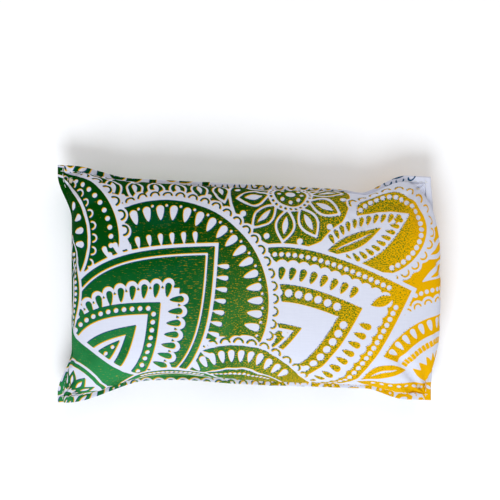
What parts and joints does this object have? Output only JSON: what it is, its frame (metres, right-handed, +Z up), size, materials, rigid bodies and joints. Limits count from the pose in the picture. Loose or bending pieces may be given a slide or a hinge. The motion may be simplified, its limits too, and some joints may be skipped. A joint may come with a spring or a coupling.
{
  "type": "eye pillow",
  "caption": "Oblong seed-filled eye pillow: printed cotton cover with a narrow topstitched flange, long pointed ears and an envelope back, round a plain inner bag.",
  "frame": {"origin": "middle of the bounding box on the underside, which lies on a table", "axes": "+X along the pillow's length, towards the end whose print is golden yellow; +Y across its width; +Z up, out of the printed front"},
  "size_m": [0.225, 0.1372, 0.044],
  "materials": {
    "printed_cotton": "plain-weave cotton, screen printed in green running to golden yellow on an off-white ground, matt with a faint sheen",
    "cover_thread": "off-white polyester-cotton sewing thread",
    "calico": "unbleached calico, matt",
    "bag_thread": "natural cotton thread",
    "seed_mix": "glossy brown flax seed mixed with dried lavender flowers"
  },
  "bodies": {
    "root": {"cover_front_panel": "printed_cotton", "cover_back_panel_left": "printed_cotton", "cover_back_panel_right": "printed_cotton", "edge_topstitch_front": "cover_thread", "edge_topstitch_back": "cover_thread", "back_hem_stitches_left": "cover_thread", "back_hem_stitches_right": "cover_thread", "inner_bag_front": "calico", "inner_bag_back": "calico", "inner_bag_seam_stitches": "bag_thread", "inner_bag_closing_stitches": "bag_thread", "seed_fill": "seed_mix"}
  },
  "joints": []
}
